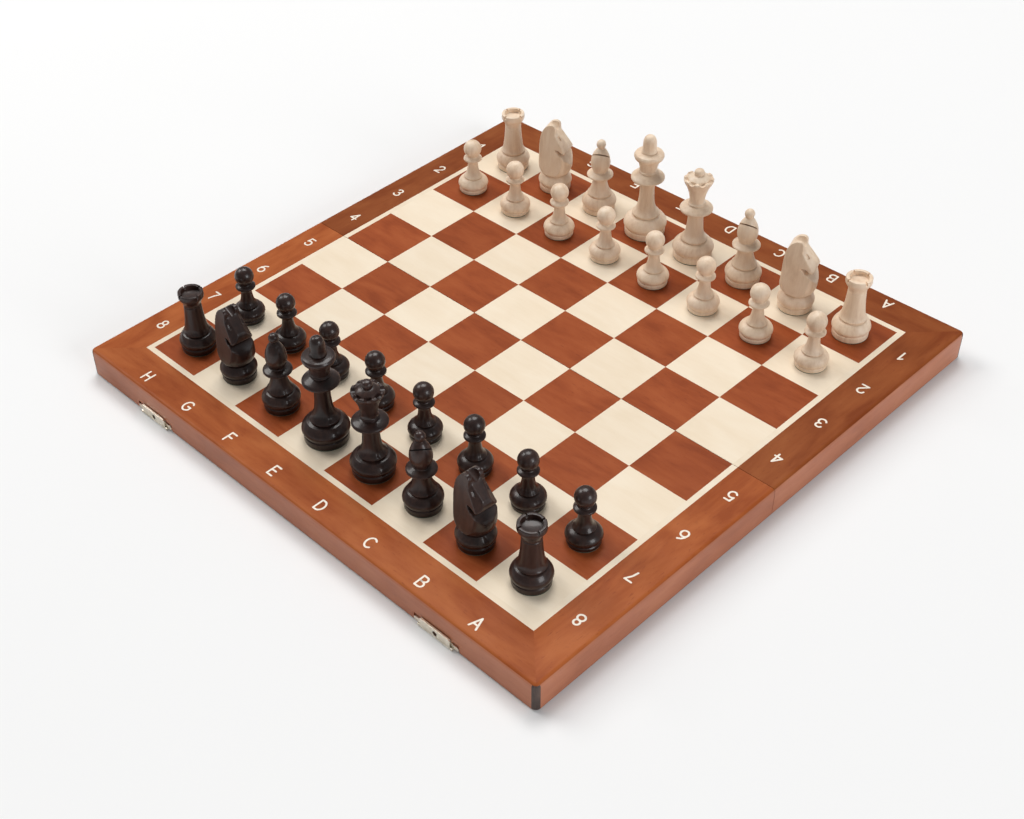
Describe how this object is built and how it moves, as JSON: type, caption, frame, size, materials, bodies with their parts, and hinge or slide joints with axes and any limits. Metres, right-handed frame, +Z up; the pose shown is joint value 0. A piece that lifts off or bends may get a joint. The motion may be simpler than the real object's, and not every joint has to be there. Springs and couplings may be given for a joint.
{
  "type": "chess set with folding board case",
  "caption": "Hinged wooden chess case opened flat as a board with border coordinates, clasps on one end, and turned light and dark men set up to play.",
  "frame": {"origin": "on the table under the middle of the open board", "axes": "+Z up; -Y towards Black's end (rank 8), +Y towards White's end (rank 1); +X towards the a-file"},
  "size_m": [0.472, 0.4764, 0.116],
  "materials": {
    "dark_veneer": "satin lacquer",
    "light_veneer": "satin lacquer",
    "wall_wood": "satin lacquer",
    "lining_felt": "matte felt",
    "nickel": "bright nickel plate",
    "boxwood": "waxed satin",
    "ebonised": "semi-gloss lacquer"
  },
  "bodies": {
    "black_half": {"black_playing_panel": "dark_veneer", "black_end_wall": "wall_wood", "black_fold_wall": "wall_wood", "black_a_side_wall": "wall_wood", "black_h_side_wall": "wall_wood", "black_lining": "lining_felt", "black_divider": "wall_wood", "a_clasp_base": "nickel", "h_clasp_base": "nickel", "a_hinge_black_leaf": "nickel", "h_hinge_black_leaf": "nickel", "a_hinge_pin": "nickel", "h_hinge_pin": "nickel"},
    "white_half": {"white_playing_panel": "dark_veneer", "white_end_wall": "wall_wood", "white_fold_wall": "wall_wood", "white_a_side_wall": "wall_wood", "white_h_side_wall": "wall_wood", "white_lining": "lining_felt", "white_divider": "wall_wood", "a_clasp_strike": "nickel", "h_clasp_strike": "nickel", "a_hinge_white_leaf": "nickel", "h_hinge_white_leaf": "nickel"},
    "a_clasp_flap": {"a_clasp_flap": "nickel"},
    "h_clasp_flap": {"h_clasp_flap": "nickel"},
    "white_king": {"white_king": "boxwood", "white_king_finial": "boxwood"},
    "white_queen": {"white_queen": "boxwood"},
    "white_bishop_c": {"white_bishop_c": "boxwood"},
    "white_bishop_f": {"white_bishop_f": "boxwood"},
    "white_knight_b": {"white_knight_b": "boxwood"},
    "white_knight_g": {"white_knight_g": "boxwood"},
    "white_rook_a": {"white_rook_a": "boxwood"},
    "white_rook_h": {"white_rook_h": "boxwood"},
    "white_pawn_a": {"white_pawn_a": "boxwood"},
    "white_pawn_b": {"white_pawn_b": "boxwood"},
    "white_pawn_c": {"white_pawn_c": "boxwood"},
    "white_pawn_d": {"white_pawn_d": "boxwood"},
    "white_pawn_e": {"white_pawn_e": "boxwood"},
    "white_pawn_f": {"white_pawn_f": "boxwood"},
    "white_pawn_g": {"white_pawn_g": "boxwood"},
    "white_pawn_h": {"white_pawn_h": "boxwood"},
    "black_king": {"black_king": "ebonised", "black_king_finial": "ebonised"},
    "black_queen": {"black_queen": "ebonised"},
    "black_bishop_c": {"black_bishop_c": "ebonised"},
    "black_bishop_f": {"black_bishop_f": "ebonised"},
    "black_knight_b": {"black_knight_b": "ebonised"},
    "black_knight_g": {"black_knight_g": "ebonised"},
    "black_rook_a": {"black_rook_a": "ebonised"},
    "black_rook_h": {"black_rook_h": "ebonised"},
    "black_pawn_a": {"black_pawn_a": "ebonised"},
    "black_pawn_b": {"black_pawn_b": "ebonised"},
    "black_pawn_c": {"black_pawn_c": "ebonised"},
    "black_pawn_d": {"black_pawn_d": "ebonised"},
    "black_pawn_e": {"black_pawn_e": "ebonised"},
    "black_pawn_f": {"black_pawn_f": "ebonised"},
    "black_pawn_g": {"black_pawn_g": "ebonised"},
    "black_pawn_h": {"black_pawn_h": "ebonised"}
  },
  "joints": [
    {"name": "case_fold", "type": "hinge", "parent": "black_half", "child": "white_half", "pos_m": [0, 0, 0.0013], "axis": [-1, 0, 0], "range_deg": [0, 180]},
    {"name": "a_clasp_hinge", "type": "hinge", "parent": "black_half", "child": "a_clasp_flap", "pos_m": [0.149, -0.2371, 0.0013], "axis": [1, 0, 0], "range_deg": [0, 180]},
    {"name": "h_clasp_hinge", "type": "hinge", "parent": "black_half", "child": "h_clasp_flap", "pos_m": [-0.155, -0.2371, 0.0013], "axis": [1, 0, 0], "range_deg": [0, 180]},
    {"name": "lift_white_king", "type": "slide", "parent": "white_half", "child": "white_king", "axis": [0, 0, 1], "range_m": [0, 0.1]},
    {"name": "lift_white_queen", "type": "slide", "parent": "white_half", "child": "white_queen", "axis": [0, 0, 1], "range_m": [0, 0.1]},
    {"name": "lift_white_bishop_c", "type": "slide", "parent": "white_half", "child": "white_bishop_c", "axis": [0, 0, 1], "range_m": [0, 0.1]},
    {"name": "lift_white_bishop_f", "type": "slide", "parent": "white_half", "child": "white_bishop_f", "axis": [0, 0, 1], "range_m": [0, 0.1]},
    {"name": "lift_white_knight_b", "type": "slide", "parent": "white_half", "child": "white_knight_b", "axis": [0, 0, 1], "range_m": [0, 0.1]},
    {"name": "lift_white_knight_g", "type": "slide", "parent": "white_half", "child": "white_knight_g", "axis": [0, 0, 1], "range_m": [0, 0.1]},
    {"name": "lift_white_rook_a", "type": "slide", "parent": "white_half", "child": "white_rook_a", "axis": [0, 0, 1], "range_m": [0, 0.1]},
    {"name": "lift_white_rook_h", "type": "slide", "parent": "white_half", "child": "white_rook_h", "axis": [0, 0, 1], "range_m": [0, 0.1]},
    {"name": "lift_white_pawn_a", "type": "slide", "parent": "white_half", "child": "white_pawn_a", "axis": [0, 0, 1], "range_m": [0, 0.1]},
    {"name": "lift_white_pawn_b", "type": "slide", "parent": "white_half", "child": "white_pawn_b", "axis": [0, 0, 1], "range_m": [0, 0.1]},
    {"name": "lift_white_pawn_c", "type": "slide", "parent": "white_half", "child": "white_pawn_c", "axis": [0, 0, 1], "range_m": [0, 0.1]},
    {"name": "lift_white_pawn_d", "type": "slide", "parent": "white_half", "child": "white_pawn_d", "axis": [0, 0, 1], "range_m": [0, 0.1]},
    {"name": "lift_white_pawn_e", "type": "slide", "parent": "white_half", "child": "white_pawn_e", "axis": [0, 0, 1], "range_m": [0, 0.1]},
    {"name": "lift_white_pawn_f", "type": "slide", "parent": "white_half", "child": "white_pawn_f", "axis": [0, 0, 1], "range_m": [0, 0.1]},
    {"name": "lift_white_pawn_g", "type": "slide", "parent": "white_half", "child": "white_pawn_g", "axis": [0, 0, 1], "range_m": [0, 0.1]},
    {"name": "lift_white_pawn_h", "type": "slide", "parent": "white_half", "child": "white_pawn_h", "axis": [0, 0, 1], "range_m": [0, 0.1]},
    {"name": "lift_black_king", "type": "slide", "parent": "black_half", "child": "black_king", "axis": [0, 0, 1], "range_m": [0, 0.1]},
    {"name": "lift_black_queen", "type": "slide", "parent": "black_half", "child": "black_queen", "axis": [0, 0, 1], "range_m": [0, 0.1]},
    {"name": "lift_black_bishop_c", "type": "slide", "parent": "black_half", "child": "black_bishop_c", "axis": [0, 0, 1], "range_m": [0, 0.1]},
    {"name": "lift_black_bishop_f", "type": "slide", "parent": "black_half", "child": "black_bishop_f", "axis": [0, 0, 1], "range_m": [0, 0.1]},
    {"name": "lift_black_knight_b", "type": "slide", "parent": "black_half", "child": "black_knight_b", "axis": [0, 0, 1], "range_m": [0, 0.1]},
    {"name": "lift_black_knight_g", "type": "slide", "parent": "black_half", "child": "black_knight_g", "axis": [0, 0, 1], "range_m": [0, 0.1]},
    {"name": "lift_black_rook_a", "type": "slide", "parent": "black_half", "child": "black_rook_a", "axis": [0, 0, 1], "range_m": [0, 0.1]},
    {"name": "lift_black_rook_h", "type": "slide", "parent": "black_half", "child": "black_rook_h", "axis": [0, 0, 1], "range_m": [0, 0.1]},
    {"name": "lift_black_pawn_a", "type": "slide", "parent": "black_half", "child": "black_pawn_a", "axis": [0, 0, 1], "range_m": [0, 0.1]},
    {"name": "lift_black_pawn_b", "type": "slide", "parent": "black_half", "child": "black_pawn_b", "axis": [0, 0, 1], "range_m": [0, 0.1]},
    {"name": "lift_black_pawn_c", "type": "slide", "parent": "black_half", "child": "black_pawn_c", "axis": [0, 0, 1], "range_m": [0, 0.1]},
    {"name": "lift_black_pawn_d", "type": "slide", "parent": "black_half", "child": "black_pawn_d", "axis": [0, 0, 1], "range_m": [0, 0.1]},
    {"name": "lift_black_pawn_e", "type": "slide", "parent": "black_half", "child": "black_pawn_e", "axis": [0, 0, 1], "range_m": [0, 0.1]},
    {"name": "lift_black_pawn_f", "type": "slide", "parent": "black_half", "child": "black_pawn_f", "axis": [0, 0, 1], "range_m": [0, 0.1]},
    {"name": "lift_black_pawn_g", "type": "slide", "parent": "black_half", "child": "black_pawn_g", "axis": [0, 0, 1], "range_m": [0, 0.1]},
    {"name": "lift_black_pawn_h", "type": "slide", "parent": "black_half", "child": "black_pawn_h", "axis": [0, 0, 1], "range_m": [0, 0.1]}
  ]
}
